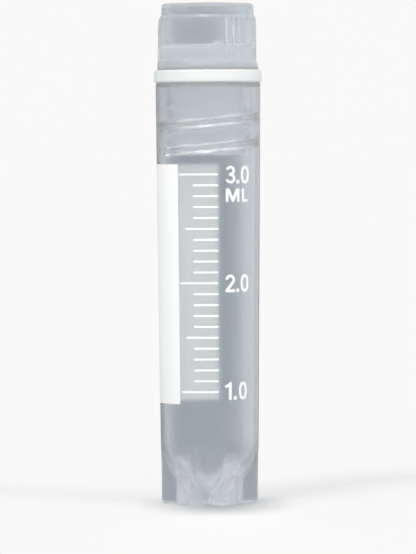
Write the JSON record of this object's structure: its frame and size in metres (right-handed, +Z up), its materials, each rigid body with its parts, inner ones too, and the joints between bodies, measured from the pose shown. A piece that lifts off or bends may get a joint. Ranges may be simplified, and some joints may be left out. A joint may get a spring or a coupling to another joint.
{
  "type": "cryovial",
  "caption": "Slim translucent round-bottomed storage tube that stands on a star of ribs, closed by a washer and a screw cap whose threaded plug goes into the neck.",
  "frame": {"origin": "centre of the star foot, on the plane that the vial stands on", "axes": "+Z up along the tube towards the cap, -Y towards the side that carries the scale, +X to that side's right"},
  "size_m": [0.0128, 0.0128, 0.0596],
  "materials": {
    "tube_plastic": "natural translucent polypropylene, smooth",
    "washer_silicone": "opaque white silicone, satin",
    "cap_plastic": "natural translucent polypropylene, smooth"
  },
  "bodies": {
    "vial": {"vial_body": "tube_plastic"},
    "washer": {"seal_washer": "washer_silicone"},
    "cap": {"screw_cap": "cap_plastic"}
  },
  "joints": [
    {"name": "cap_lift", "type": "slide", "parent": "vial", "child": "washer", "axis": [0, 0, 1], "range_m": [0, 0.00975]},
    {"name": "cap_turn", "type": "hinge", "parent": "washer", "child": "cap", "pos_m": [0, 0, 0.0517], "axis": [0, 0, 1], "range_deg": [0, 1170]}
  ],
  "couplings": [
    {"joint": "cap_turn", "follows": "cap_lift", "rad_per_m": 2094.4}
  ]
}
